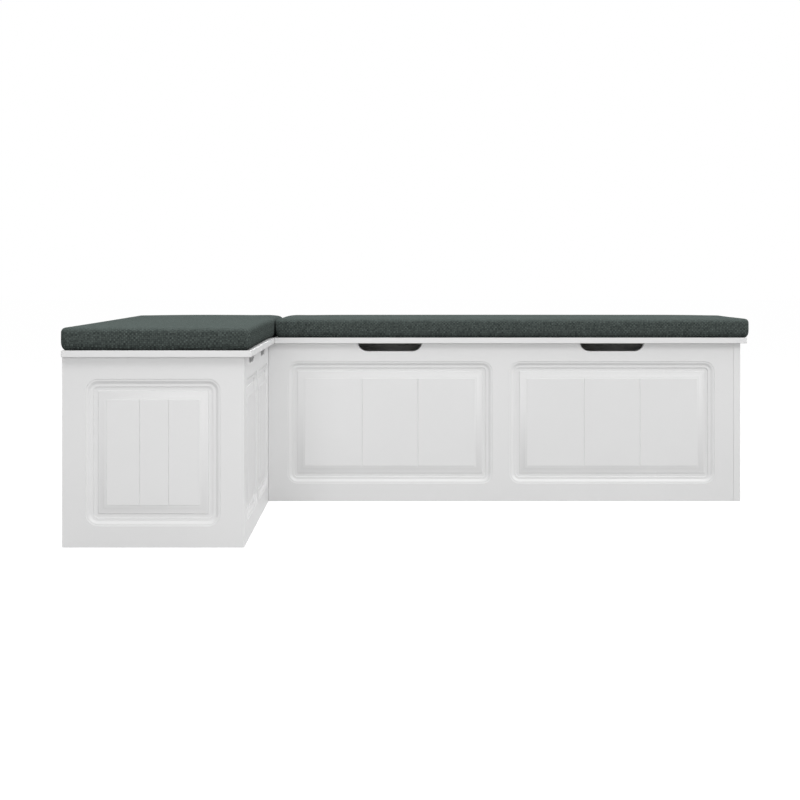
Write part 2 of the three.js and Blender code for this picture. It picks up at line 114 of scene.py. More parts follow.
# Finger cutouts
CUTOUT_FLAT = 118 * MM
CUTOUT_DEPTH = 21 * MM
CUTOUT_R = 26 * MM
CUTOUT_SEGMENTS = 16
CUTOUT_ROUND = 0.999  # the share of the radius that is rounded, so that two arcs don't meet in one point
CUTTER_REACH = 40 * MM

# Rounded edges
PANEL_EDGE_R = 0.5 * MM
CUTOUT_EDGE_R = 3 * MM
LID_EDGE_R = 1.2 * MM
LID_REACH = 1.05 * MM  # how much nearer to each other the lids come than their solids
BOARD_EDGE_R = 0.8 * MM
EDGE_SEGMENTS = 4
DOME_SHARE = 0.8  # how much of a small head's height its round edge takes up

# Cushions, each inside its solid's box
CUSHION_EDGE = 50 * MM  # height where the side turns into the top
CUSHION_PLAN_R = 18 * MM
CUSHION_TOP_R = 11 * MM
CUSHION_FOOT_IN = 11 * MM
CUSHION_FOOT_RISE = 18 * MM
CUSHION_DRAW_IN = 2.5 * MM
PLAN_SEGMENTS = 8
ROLL_SEGMENTS = 7
WALL_STEPS = 2
CUSHION_GRID = 24 * MM
CUSHION_VOXEL = 7 * MM
CUSHION_PRESSURE = 4
CUSHION_FRAMES = 20
CUSHION_CAP = 7 * MM  # the farthest that any point swells
NEIGHBOURS = 8  # points of the cloth that each point of the cushion follows
FLAT = 0.9  # a face lies flat where its normal's Z is past this
DRAW_IN_FROM = 0.8  # the share of the way from the middle to a side, where it begins to draw in
SEAM_DROPS = (4 * MM, 12 * MM)  # how far the tops sink where the cushions meet: in front, and at the wall
SEAM_REACH = 45 * MM  # how far from the seam the tops begin to sink
SEAM_FILL = 2 * MM  # how much fuller the pressed cushions stand beside the seam
SEAM_FILL_REACH = (15 * MM, 90 * MM)
SEAM_LINE = -414.2 * MM  # where along X the cushions touch
SEAM_FRONT = (100 * MM, 180 * MM)  # where along Y the left cushion's side begins to press on the right one
TIGHT_CORNER = 0.75  # how square the right cushion's corner gets there
TIGHT_RISE = (0.1, 0.5)  # and over which share of its height
FULLER_TOP = 0.8 * MM  # how much fuller than its solid the padding stands
FULLER_END = 1.8 * MM  # and at the free end of the right cushion
SIT_DOWN = 0.25 * MM  # how far the padding settles towards the lid

# Cloth
YARN_PITCH = 2.2 * MM
YARNS_PER_FLOAT = 2
PLIES_PER_PITCH = 2
PLY_DEPTH = 0.08
YARN_ROUND = 0.6  # how blunt a yarn is across
FLOAT_ROUND = 0.4  # and how soon it dips at the end of a float
YARN_WANDER = 0.35 * MM
FOOT_PAINTED_SHADE = 0.5  # painted shade: the cloth's colour times this where it faces down
TOP_PAINTED_LIGHT = 1.66  # painted light: and times this where it faces up, where more light falls from above
TOP_WEAR = 0.6  # how far use has evened out the yarns' shades, and their painted gap shade, on top
MOTTLE = {"Slub": 0.35, "Yarn": 0.35, "Block": 0.3}  # the shares of what varies the yarns' shades

# Hinges, modelled along X with the pin's axis at Z = 0 and the board's edge at Y = 0
HINGE_LENGTH = 60 * MM
LEAF_DEPTH = 14 * MM
LEAF_T = 1.5 * MM
LEAF_LEVEL = 0.15 * MM  # from the pin's axis to the near face of each plate
LEAF_CORNER_R = 2.5 * MM
AXIS_OUT = 3.3 * MM  # from the board's edge to the pin's axis
KNUCKLES = 5
KNUCKLE_R = 3 * MM
KNUCKLE_BORE_R = 1.6 * MM
KNUCKLE_GAP = 0.3 * MM
KNUCKLE_EDGE_R = 0.3 * MM
KNUCKLE_RIM = 0.98  # of its radius: farther out than this lies its rim
PIN_R = 1.35 * MM
PIN_HEAD_R = 2.4 * MM
PIN_HEAD_T = 1 * MM
ROUND_SIDES = 32

# Screws and bolts
SCREW_R = 2.9 * MM
SCREW_SINK = 1.5 * MM
SCREW_GAP = 0.06 * MM
SCREW_DOME = 1.6 * MM
SCREW_PLACES = (9 * MM, 30 * MM, 51 * MM)
SCREW_FROM_EDGE = 7.5 * MM
CROSS_LENGTH = 3.4 * MM
CROSS_WIDTH = 0.8 * MM
CROSS_DEPTH = 1 * MM
BOLT_R = 2.8 * MM
BOLT_HEAD_R = 8 * MM
BOLT_HEAD_T = 2.5 * MM
BOLT_DOME_SHARE = 0.6
SLEEVE_R = 4 * MM
SLEEVE_BORE_R = 3.3 * MM
SLEEVE_BORE_FROM = 14.4 * MM
HEX_R = 2.3 * MM
HEX_DEPTH = 1.8 * MM

# Corner blocks: each has one screw into each of its two boards
BLOCK_SIDE = 22 * MM
BLOCK_CHAMFER = 9 * MM
BLOCK_HEIGHT = 40 * MM
BLOCK_EDGE_R = 1 * MM
BLOCK_SHARP_ANGLE = 30  # degrees, which takes in the edges of the chamfer
POCKET_R = 4.2 * MM
POCKET_DEPTH = 3 * MM
BLOCK_SCREWS = (12 * MM, 28 * MM)

# Studio: lamps as (place, size, power), all turned to the bench's middle
LAMPS = {
    "front": ((-0.4, -5, 0.6), 2, 83),
    "near_left": ((-1.2, -1.8, 2.6), 1.2, 9),
    "high_right": ((2.2, -3, 3.6), 2, 69),
    "right": ((4.5, -0.5, 2), 2, 66),
    "left": ((-4.5, -0.5, 2), 2, 12),
    "top": ((0, 0, 4.2), 3, 58),
    "back": ((0, 5, 1), 2, 70),
    "back_left": ((-4, 4, 1.6), 2, 130),
}
LAMP_TARGET = (0, 0, 0.25)
WORLD_FILL = 0.46
FLOOR_SHADOW = 0.14  # the share of the floor's white that the object's shadow can take away
FLOOR_GLOW = 0.93  # the rest of its white, which nothing takes away
FLOOR_BOUNCE = 150  # the grey from which the floor throws light on the bench
FLOOR_SIZE = 80
FLOOR_LEVEL = -0.2 * MM


def deselect():
    bpy.ops.object.select_all(action="DESELECT")


def pick(piece):
    """Makes a piece the only selected object, and the active one."""
    deselect()
    piece.select_set(True)
    bpy.context.view_layer.objects.active = piece


def settle(piece):
    """Puts a piece's place, turn and scale into its mesh."""
    pick(piece)
    bpy.ops.object.transform_apply(location=True, rotation=True, scale=True)
    return piece


def discard(piece):
    data = piece.data
    bpy.data.objects.remove(piece)
    bpy.data.meshes.remove(data)


def cube(name, low, high):
    """A block from its lowest corner to its highest."""
    low = Vector(low)
    high = Vector(high)
    deselect()
    bpy.ops.mesh.primitive_cube_add(size=1, location=(low + high) / 2, scale=high - low)
    bpy.context.object.name = name
    return settle(bpy.context.object)


def rod(name, radius, start, end, sides=ROUND_SIDES, tip=None):
    """A round bar between two points, or a cone whose far radius is tip."""
    start = Vector(start)
    end = Vector(end)
    turn = (end - start).to_track_quat("Z", "Y").to_euler()
    deselect()
    bpy.ops.mesh.primitive_cone_add(
        vertices=sides,
        radius1=radius,
        radius2=radius if tip is None else tip,
        depth=(end - start).length,
        location=(start + end) / 2,
        rotation=turn,
    )
    bpy.context.object.name = name
    return settle(bpy.context.object)


def joined(pieces):
    """Makes one mesh of several pieces, in the first of them."""
    deselect()
    for piece in pieces:
        piece.select_set(True)
    bpy.context.view_layer.objects.active = pieces[0]
    bpy.ops.object.join()
    return pieces[0]


def set_down(form, name, turn, place):
    """A copy of a form with its own mesh, turned about Z and put in its place."""
    pick(form)
    bpy.ops.object.duplicate()
    made = bpy.context.object
    made.name = name
    made.rotation_euler.z = turn
    made.location = place
    return settle(made)


def modify(piece, kind, **settings):
    """Puts a modifier on a piece, and applies it."""
    pick(piece)
    bpy.ops.object.modifier_add(type=kind)
    modifier = piece.modifiers[-1]
    for key, value in settings.items():
        setattr(modifier, key, value)
    bpy.ops.object.modifier_apply(modifier=modifier.name)


def carve(piece, cutter, operation="DIFFERENCE"):
    """Cuts one mesh from another, or joins them, and drops the cutter."""
    modify(piece, "BOOLEAN", object=cutter, operation=operation, solver="EXACT")
    discard(cutter)


def choose(piece, kind, test):
    """In edit mode, selects only the vertices, edges or faces that pass the test."""
    bpy.ops.mesh.select_all(action="DESELECT")
    shape = bmesh.from_edit_mesh(piece.data)
    for item in getattr(shape, kind):
        if test(item):
            item.select_set(True)
    shape.select_flush_mode()
    bmesh.update_edit_mesh(piece.data)


def middle_of(edge):
    return (edge.verts[0].co + edge.verts[1].co) / 2


def is_sharp(edge):
    return len(edge.link_faces) == 2 and edge.calc_face_angle(0) > math.radians(SHARP_ANGLE)


def round_edges(piece, radius, segments=EDGE_SEGMENTS, test=is_sharp):
    """Rounds the edges that pass the test."""
    pick(piece)
    bpy.ops.object.mode_set(mode="EDIT")
    bpy.ops.mesh.select_mode(type="EDGE")
    choose(piece, "edges", test)
    bpy.ops.mesh.bevel(offset=radius, segments=segments, affect="EDGES")
    bpy.ops.object.mode_set(mode="OBJECT")


def shade(piece):
    """Smooth shading, with the big flat faces kept flat."""
    pick(piece)
    bpy.ops.object.shade_smooth_by_angle(angle=math.radians(SMOOTH_ANGLE))
    modify(piece, "WEIGHTED_NORMAL", keep_sharp=True)


def dress(piece, node, material):
    """Gives a piece its finish and the body of the CAD node that it stands for, and hides that node."""
    piece.data.materials.clear()
    piece.data.materials.append(material)
    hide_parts(node)
    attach(piece, frame["nodes"][node]["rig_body"])


def add(tree, kind, inputs=None, **settings):
    """Adds a shader node. An input given as a socket is linked, and any other value is set."""
    made = tree.nodes.new(kind)
    for key, value in settings.items():
        setattr(made, key, value)
    for key, value in (inputs or {}).items():
        if isinstance(value, bpy.types.NodeSocket):
            tree.links.new(value, made.inputs[key])
        else:
            made.inputs[key].default_value = value
    return made


def calc(tree, operation, *values):
    """The output of a Math node."""
    return add(tree, "ShaderNodeMath", dict(enumerate(values)), operation=operation).outputs[0]


def calc_vector(tree, operation, inputs):
    """The output of a Vector Math node."""
    return add(tree, "ShaderNodeVectorMath", inputs, operation=operation).outputs[0]


def blend(tree, factor, first, second):
    """The output of a Mix node for colours, whose two colours are its inputs 6 and 7."""
    inputs = {0: factor, 6: first, 7: second}
    return add(tree, "ShaderNodeMix", inputs, data_type="RGBA").outputs[2]


def scaled(tree, value, low, high):
    """A value from 0 to 1, stretched to lie from low to high."""
    return calc(tree, "MULTIPLY_ADD", value, high - low, low)


def new_group(name, inputs, outputs):
    """An empty shader group, what comes into it and what goes out of it."""
    tree = bpy.data.node_groups.new(name, "ShaderNodeTree")
    for socket, kind in inputs.items():
        tree.interface.new_socket(name=socket, in_out="INPUT", socket_type=kind)
    for socket, kind in outputs.items():
        tree.interface.new_socket(name=socket, in_out="OUTPUT", socket_type=kind)
    return tree, tree.nodes.new("NodeGroupInput").outputs, tree.nodes.new("NodeGroupOutput").inputs


def place_group(tree, group, inputs):
    """Puts a shader group into a material, and gives its outputs."""
    return add(tree, "ShaderNodeGroup", inputs, node_tree=group).outputs


def grey(level):
    """A neutral colour from its 8-bit display level."""
    return tone(level, level, level)


def tone(red, green, blue):
    """A linear colour from 8-bit display levels."""
    linear = []
    for level in (red, green, blue):
        share = level / 255
        linear.append(share / 12.92 if share <= 0.04045 else ((share + 0.055) / 1.055) ** 2.4)
    return (*linear, 1)


def unevenness_group():
    """Fine and broad random variation over a surface."""
    tree, given, result = new_group(
        "unevenness",
        {"Vector": "NodeSocketVector", "Fine Scale": "NodeSocketFloat", "Broad Scale": "NodeSocketFloat"},
        {"Fine": "NodeSocketFloat", "Broad": "NodeSocketFloat"},
    )
    fine = add(tree, "ShaderNodeTexNoise", {
        "Vector": given["Vector"], "Scale": given["Fine Scale"], "Detail": 2.0, "Roughness": 0.6,
    })
    broad = add(tree, "ShaderNodeTexNoise", {
        "Vector": given["Vector"], "Scale": given["Broad Scale"], "Detail": 4.0, "Roughness": 0.55,
    })
    tree.links.new(fine.outputs["Fac"], result["Fine"])
    tree.links.new(broad.outputs["Fac"], result["Broad"])
    return tree


def weave_group():
    """A basket weave, two yarns over two: its height, which set is on top, and shades of its yarns."""
    tree, given, result = new_group(
        "weave",
        {"Vector": "NodeSocketVector", "Pitch": "NodeSocketFloat", "Wander": "NodeSocketFloat"},
        {
            "Height": "NodeSocketFloat", "Weft": "NodeSocketFloat",
            "Block": "NodeSocketFloat", "Yarn": "NodeSocketFloat", "Slub": "NodeSocketFloat",
        },
    )
    wander = add(tree, "ShaderNodeTexNoise", {"Vector": given["Vector"], "Scale": 90.0, "Detail": 1.0})
    centred = calc_vector(tree, "SUBTRACT", {0: wander.outputs["Color"], 1: (0.5, 0.5, 0.5)})
    pushed = calc_vector(tree, "SCALE", {0: centred, "Scale": given["Wander"]})
    moved = calc_vector(tree, "ADD", {0: given["Vector"], 1: pushed})
    per_metre = calc(tree, "DIVIDE", 1.0, given["Pitch"])
    cells = calc_vector(tree, "SCALE", {0: moved, "Scale": per_metre})
    yarns = add(tree, "ShaderNodeSeparateXYZ", {0: cells}).outputs
    blocks = [calc(tree, "MULTIPLY", yarns[i], 1 / YARNS_PER_FLOAT) for i in (0, 1)]

    def half_wave(value):
        return calc(tree, "SINE", calc(tree, "MULTIPLY", calc(tree, "FRACT", value), math.pi))

    ridge = [half_wave(yarns[i]) for i in (0, 1)]
    arch = [half_wave(blocks[i]) for i in (0, 1)]
    yarn = [calc(tree, "FLOOR", yarns[i]) for i in (0, 1)]
    block = [calc(tree, "FLOOR", blocks[i]) for i in (0, 1)]
    weft = calc(tree, "FLOORED_MODULO", calc(tree, "ADD", block[0], block[1]), 2.0)

    def either(first, second):
        """The first value where the warp is on top, and the second where the weft is."""
        return calc(tree, "MULTIPLY_ADD", calc(tree, "SUBTRACT", second, first), weft, first)

    across = calc(tree, "POWER", either(ridge[0], ridge[1]), YARN_ROUND)
    along = calc(tree, "POWER", either(arch[1], arch[0]), FLOAT_ROUND)
    height = calc(tree, "MULTIPLY", across, scaled(tree, along, 0.35, 1.0))
    slant = calc(tree, "ADD", yarns[0], yarns[1])
    ply = calc(tree, "SINE", calc(tree, "MULTIPLY", slant, 2 * math.pi * PLIES_PER_PITCH))
    height = calc(tree, "MULTIPLY_ADD", ply, PLY_DEPTH, height)
    cells = {"Block": block, "Yarn": (either(yarn[0], block[0]), either(block[1], yarn[1]))}
    for name, (x, y) in cells.items():
        cell = add(tree, "ShaderNodeCombineXYZ", {0: x, 1: y})
        shade_of = add(tree, "ShaderNodeTexWhiteNoise", {"Vector": cell.outputs[0]}, noise_dimensions="2D")
        tree.links.new(shade_of.outputs["Value"], result[name])
    slub = add(tree, "ShaderNodeTexNoise", {"Vector": given["Vector"], "Scale": 260.0, "Detail": 2.0})
    tree.links.new(height, result["Height"])
    tree.links.new(weft, result["Weft"])
    tree.links.new(slub.outputs["Fac"], result["Slub"])
    return tree


def grain_group():
    """Wood grain that runs along X: year rings, and fine pores."""
    tree, given, result = new_group(
        "grain",
        {"Vector": "NodeSocketVector"},
        {"Rings": "NodeSocketFloat", "Pores": "NodeSocketFloat"},
    )
    long = calc_vector(tree, "MULTIPLY", {0: given["Vector"], 1: (2.0, 40.0, 40.0)})
    swirl = add(tree, "ShaderNodeTexNoise", {"Vector": long, "Scale": 1.2, "Detail": 3.0})
    rings = calc(tree, "FRACT", calc(tree, "MULTIPLY", swirl.outputs["Fac"], 9.0))
    fine = calc_vector(tree, "MULTIPLY", {0: given["Vector"], 1: (60.0, 1800.0, 1800.0)})
    pores = add(tree, "ShaderNodeTexNoise", {"Vector": fine, "Scale": 1.0, "Detail": 2.0})
    tree.links.new(rings, result["Rings"])
    tree.links.new(pores.outputs["Fac"], result["Pores"])
    return tree


def new_material(name):
    """A material, the tree of its nodes and its Principled shader."""
    material = bpy.data.materials.new(name)
    material.use_nodes = True
    return material, material.node_tree, material.node_tree.nodes["Principled BSDF"]


def object_place(tree):
    return add(tree, "ShaderNodeTexCoord").outputs["Object"]


def bump(tree, shader, height, distance, strength=1.0):
    made = add(tree, "ShaderNodeBump", {"Height": height, "Distance": distance, "Strength": strength})
    tree.links.new(made.outputs["Normal"], shader.inputs["Normal"])


def hard_finish(name, unevenness, scales, tones, gloss, depth, fixed):
    """A hard skin, cloudy in colour. Its gloss gives what its roughness follows, and from where to where."""
    material, tree, shader = new_material(name)
    inputs = {"Vector": object_place(tree), "Fine Scale": scales[0], "Broad Scale": scales[1]}
    spread = place_group(tree, unevenness, inputs)
    tree.links.new(blend(tree, spread["Broad"], *tones), shader.inputs["Base Color"])
    follows, low, high = gloss
    tree.links.new(scaled(tree, spread[follows], low, high), shader.inputs["Roughness"])
    for key, value in fixed.items():
        shader.inputs[key].default_value = value
    bump(tree, shader, spread["Fine"], depth)
    return material


def satin_white(unevenness):
    """White foil over fibreboard: a satin skin with a faint orange peel."""
    tones = grey(218), grey(224)
    gloss = "Broad", 0.36, 0.5
    return hard_finish("satin_white", unevenness, (900.0, 6.0), tones, gloss, 0.02 * MM, {"IOR": 1.46})


def melamine_white(unevenness):
    """The plainer white of the carcass boards: a dry, slightly pearled skin."""
    tones = grey(212), grey(221)
    gloss = "Fine", 0.45, 0.62
    return hard_finish("melamine_white", unevenness, (1600.0, 9.0), tones, gloss, 0.05 * MM, {})


def zinc_steel(unevenness):
    """Zinc-plated sheet steel with a cloudy, faintly brushed face."""
    tones = tone(172, 175, 178), tone(206, 208, 210)
    gloss = "Broad", 0.22, 0.42
    return hard_finish("zinc_steel", unevenness, (2200.0, 60.0), tones, gloss, 0.02 * MM, {"Metallic": 1})


def moulded_plastic(unevenness):
    """Off-white moulded plastic with an eroded finish."""
    tones = tone(222, 222, 216), tone(232, 232, 228)
    gloss = "Fine", 0.4, 0.6
    return hard_finish("moulded_plastic", unevenness, (1500.0, 25.0), tones, gloss, 0.06 * MM, {})


def woven_cloth(weave, unevenness):
    """Dark grey-green cloth, basket-woven from uneven mottled yarns, the weft paler than the warp. Painted
    shade darkens the gaps between the yarns and the underside, and painted light brightens the top.
    """
    material, tree, shader = new_material("woven_cloth")
    place = add(tree, "ShaderNodeUVMap", uv_map="cloth").outputs["UV"]
    cloth = place_group(tree, weave, {"Vector": place, "Pitch": YARN_PITCH, "Wander": YARN_WANDER})
    spread = place_group(tree, unevenness, {"Vector": place, "Fine Scale": 420.0, "Broad Scale": 7.0})
    mottle = calc(tree, "MULTIPLY", cloth["Slub"], MOTTLE["Slub"])
    for name in ("Yarn", "Block"):
        mottle = calc(tree, "MULTIPLY_ADD", cloth[name], MOTTLE[name], mottle)
    warp = blend(tree, mottle, tone(36, 41, 40), tone(96, 104, 101))
    weft = blend(tree, mottle, tone(46, 52, 50), tone(107, 117, 113))
    yarn = blend(tree, cloth["Weft"], warp, weft)
    # painted shade: the gaps between the yarns darkened towards near black, following the weave's height
    painted_gap_shade = blend(tree, cloth["Height"], tone(18, 22, 21), yarn)
    aged = blend(tree, calc(tree, "MULTIPLY", spread["Broad"], 0.12), painted_gap_shade, tone(92, 98, 96))
    upward = add(tree, "ShaderNodeAttribute", attribute_name="upward").outputs["Fac"]
    worn = calc(tree, "MAXIMUM", calc(tree, "MULTIPLY_ADD", upward, 2 * TOP_WEAR, -TOP_WEAR), 0.0)
    evened = blend(tree, worn, aged, tone(66, 73, 71))
    # painted shade on the underside and painted light on top: the colour is scaled by how far the cloth
    # faces up
    painted_light_and_shade_gain = scaled(tree, upward, FOOT_PAINTED_SHADE, TOP_PAINTED_LIGHT)
    with_painted_light_and_shade = calc_vector(tree, "SCALE", {0: evened, "Scale": painted_light_and_shade_gain})
    tree.links.new(with_painted_light_and_shade, shader.inputs["Base Color"])
    tree.links.new(scaled(tree, spread["Fine"], 0.72, 0.9), shader.inputs["Roughness"])
    shader.inputs["Specular IOR Level"].default_value = 0
    shader.inputs["Sheen Weight"].default_value = 0.03
    shader.inputs["Sheen Roughness"].default_value = 0.45
    shader.inputs["Sheen Tint"].default_value = tone(205, 222, 215)
    height = calc(tree, "MULTIPLY_ADD", cloth["Slub"], 0.3, cloth["Height"])
    bump(tree, shader, height, 0.6 * MM, 0.8)
    return material


def pine_wood(grain, name, turned):
    """Sawn pine with its grain along X, or along Y where it is turned."""
    material, tree, shader = new_material(name)
    place = add(tree, "ShaderNodeMapping", {"Vector": object_place(tree)})
    place.inputs["Rotation"].default_value = (0, 0, math.radians(90) if turned else 0)
    wood = place_group(tree, grain, {"Vector": place.outputs[0]})
    light = blend(tree, wood["Rings"], tone(214, 181, 132), tone(188, 146, 94))
    colour = blend(tree, calc(tree, "MULTIPLY", wood["Pores"], 0.5), light, tone(170, 126, 78))
    tree.links.new(colour, shader.inputs["Base Color"])
    tree.links.new(scaled(tree, wood["Pores"], 0.6, 0.85), shader.inputs["Roughness"])
    bump(tree, shader, wood["Pores"], 0.15 * MM)
    return material


def upright_face(name, low, high, depth, facing):
    """An upright rectangle at Y = depth, which faces +Y where facing is 1, and -Y where it is -1."""
    deselect()
    bpy.ops.mesh.primitive_plane_add(
        size=1,
        location=((low[0] + high[0]) / 2, depth, (low[1] + high[1]) / 2),
        rotation=(-facing * math.pi / 2, 0, 0),
    )
    piece = bpy.context.object
    piece.name = name
    piece.scale = (high[0] - low[0], high[1] - low[1], 1)
    return settle(piece)


def start_shape(piece, corner_radius=0, segments=1):
    """Opens a flat face for modelling, with its corners rounded."""
    pick(piece)
    bpy.ops.object.mode_set(mode="EDIT")
    bpy.ops.mesh.select_mode(type="VERT")
    bpy.ops.mesh.select_all(action="SELECT")
    if corner_radius:
        bpy.ops.mesh.bevel(offset=corner_radius, segments=segments, affect="VERTICES")
    bpy.ops.mesh.select_mode(type="FACE")
    bpy.ops.mesh.select_all(action="SELECT")


def push(distance):
    """Extrudes the selected face along Y."""
    bpy.ops.mesh.extrude_region_move(TRANSFORM_OT_translate={"value": (0, distance, 0)})


def step_in(profile, inset, depth, facing):
    """Insets the selected face along a profile of (inset, depth)."""
    for next_inset, next_depth in profile:
        rise = facing * (next_depth - depth)
        bpy.ops.mesh.inset(thickness=next_inset - inset, depth=rise)
        inset = next_inset
        depth = next_depth


def channel_cutter(low, high):
    """What the router takes away inside one frame: a shelf, an ogee, a bead and a flat groove."""
    piece = upright_face("channel_cutter", low, high, -OVERCUT, 1)
    start_shape(piece, FRAME_CORNER_R, CORNER_SEGMENTS)
    push(OVERCUT)
    profile = [(WALL_RUN, SHELF_DEPTH), (OGEE_FROM, SHELF_DEPTH)]
    for i in range(1, OGEE_SEGMENTS + 1):
        t = i / OGEE_SEGMENTS
        inset = OGEE_FROM + (OGEE_TO - OGEE_FROM) * t
        fall = t + OGEE_EASE * (t * t * (3 - 2 * t) - t)
        profile.append((inset, SHELF_DEPTH + (OGEE_DEPTH - SHELF_DEPTH) * fall))
    profile += [(BEAD_TO, OGEE_DEPTH), (BEAD_TO + WALL_RUN, GROOVE_DEPTH)]
    step_in(profile, 0, 0, 1)
    bpy.ops.object.mode_set(mode="OBJECT")
    return piece


def raised_field(low, high):
    """The field with its fillet and its hollow bevel, which stands on the groove's floor."""
    low = [value + BEVEL_FROM for value in low]
    high = [value - BEVEL_FROM for value in high]
    piece = upright_face("raised_field", low, high, GROOVE_DEPTH + OVERCUT, -1)
    start_shape(piece)
    push(-OVERCUT)
    start = GROOVE_DEPTH - BEVEL_STEP
    profile = [(BEVEL_RUN, start)]
    for i in range(1, BEVEL_SEGMENTS + 1):
        t = i / BEVEL_SEGMENTS
        inset = BEVEL_RUN + (FILLET_FROM - BEVEL_FROM - BEVEL_RUN) * t
        profile.append((inset, start - (start - FILLET_DEPTH) * t**BEVEL_HOLLOW))
    fillet = FILLET_DEPTH - FILLET_STEP
    profile.append((FILLET_FROM + WALL_RUN - BEVEL_FROM, fillet))
    profile.append((FIELD_INSET - WALL_RUN - BEVEL_FROM, fillet - FILLET_SLOPE))
    profile.append((FIELD_INSET - BEVEL_FROM, FIELD_DEPTH))
    step_in(profile, 0, GROOVE_DEPTH, -1)
    bpy.ops.object.mode_set(mode="OBJECT")
    return piece


def vee_cutter(x, low, high):
    """A square bar on its edge, which leaves a fine upright groove in the field."""
    side = VEE_BAR * math.sqrt(2)
    deselect()
    bpy.ops.mesh.primitive_cube_add(
        size=1,
        location=(x, FIELD_DEPTH + VEE_DEPTH - VEE_BAR, (low + high) / 2),
        rotation=(0, 0, math.radians(45)),
        scale=(side, side, high - low),
    )
    return settle(bpy.context.object)


def finger_cutter(x, top):
    """A long slot with round ends, whose lower half opens the panel's top edge."""
    half = CUTOUT_FLAT / 2 + CUTOUT_R
    centre = top + CUTOUT_R - CUTOUT_DEPTH
    low = (x - half, centre - CUTOUT_R)
    high = (x + half, centre + CUTOUT_R)
    piece = upright_face("finger_cutter", low, high, -OVERCUT, 1)
    start_shape(piece, CUTOUT_R * CUTOUT_ROUND, CUTOUT_SEGMENTS)
    push(CUTTER_REACH)
    bpy.ops.object.mode_set(mode="OBJECT")
    return piece


def raised_panel(node, kind, frames, turned, material):
    """A raised panel: routed frames, grooved fields and finger cutouts. Turned ones face +X."""
    low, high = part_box(node)
    size = high - low
    width = size.y if turned else size.x
    thickness = size.x if turned else size.y
    panel = cube(node + "_routed", (0, 0, 0), (width, thickness, size.z))
    side = FRAME_SIDE[kind]
    frame_width = (width - 2 * side - (frames - 1) * FRAME_GAP) / frames
    outlines = []
    for i in range(frames):
        left = side + i * (frame_width + FRAME_GAP)
        outlines.append(((left, FRAME_FOOT), (left + frame_width, size.z - FRAME_HEAD)))
    for first, last in outlines:
        carve(panel, channel_cutter(first, last))
        carve(panel, raised_field(first, last), "UNION")
        field_width = last[0] - first[0] - 2 * FIELD_INSET
        for share in VEE_SHARES[kind]:
            x = first[0] + FIELD_INSET + field_width * share
            reach = FIELD_INSET - VEE_RUN_OUT
            carve(panel, vee_cutter(x, first[1] + reach, last[1] - reach))
        if kind == "front":
            carve(panel, finger_cutter((first[0] + last[0]) / 2, size.z))

    def is_outer(edge):
        x, _, z = middle_of(edge)
        inside = any(a[0] - MM < x < b[0] + MM and a[1] - MM < z < b[1] + MM for a, b in outlines)
        return is_sharp(edge) and not inside

    def is_lip(edge):
        x, _, z = middle_of(edge)
        in_front = all(vert.co.y < TOUCH for vert in edge.verts)
        below_top = any(vert.co.z < size.z - TOUCH for vert in edge.verts)
        in_cutout = z > size.z - CUTOUT_DEPTH - MM and TOUCH <= x <= width - TOUCH
        return is_outer(edge) and in_front and below_top and in_cutout

    round_edges(panel, CUTOUT_EDGE_R, test=is_lip)
    round_edges(panel, PANEL_EDGE_R, test=is_outer)
    panel.rotation_euler.z = math.pi / 2 if turned else 0
    panel.location = (high.x if turned else low.x, low.y, low.z)
    settle(panel)
    shade(panel)
    dress(panel, node, material)


def lid_slab(side, material):
    """A lid with rounded edges and the let-in seats of its hinge leaves."""
    node = side + "_lid"
    low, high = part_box(node)
    if side == "left":
        high.x += LID_REACH
    else:
        low.x -= LID_REACH
    slab = cube(node + "_slab", low, high)
    round_edges(slab, LID_EDGE_R)
    for i in (1, 2, 3):
        leaf_low, leaf_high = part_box(f"{side}_hinge_{i}_lid_leaf")
        gap = Vector((KNUCKLE_GAP, KNUCKLE_GAP, 0))
        seat_low = leaf_low - gap
        seat_low.z = low.z - OVERCUT
        seat_high = leaf_high + gap
        seat_high.z = low.z + LEAF_T + KNUCKLE_GAP
        carve(slab, cube("seat", seat_low, seat_high))
    shade(slab)
    dress(slab, node, material)


def edged_board(node, material):
    """A board on its solid's own shape, with its edges broken."""
    pick(frame["nodes"][node])
    bpy.ops.object.duplicate()
    board = bpy.context.object
    board.name = node + "_edged"
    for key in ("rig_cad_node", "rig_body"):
        del board[key]
    board.parent = None
    pick(board)
    bpy.ops.object.mode_set(mode="EDIT")
    bpy.ops.mesh.select_all(action="SELECT")
    bpy.ops.mesh.remove_doubles(threshold=TOUCH)
    bpy.ops.mesh.dissolve_limited(angle_limit=math.radians(1))
    bpy.ops.object.mode_set(mode="OBJECT")
    round_edges(board, BOARD_EDGE_R, segments=2)
    shade(board)
    dress(board, node, material)


def cross_screw(place, turn, dome=0):
    """A screw's head with a cross recess: sunk and flat, or a dome of some height. Unturned, it faces up."""

    def is_rim(edge):
        return is_sharp(edge) and middle_of(edge).z > dome / 2

    if dome:
        head = rod("screw", SCREW_R, (0, 0, 0), (0, 0, dome))
        round_edges(head, dome * DOME_SHARE, test=is_rim)
    else:
        head = rod("screw", SCREW_R, (0, 0, 0), (0, 0, -SCREW_SINK), tip=SCREW_R - SCREW_SINK)
    for length, width in ((CROSS_LENGTH, CROSS_WIDTH), (CROSS_WIDTH, CROSS_LENGTH)):
        half = Vector((length / 2, width / 2, CROSS_DEPTH))
        top = Vector((0, 0, dome))
        carve(head, cube("cross", top - half, top + half))
    head.rotation_euler = turn
    head.location = place
    return settle(head)


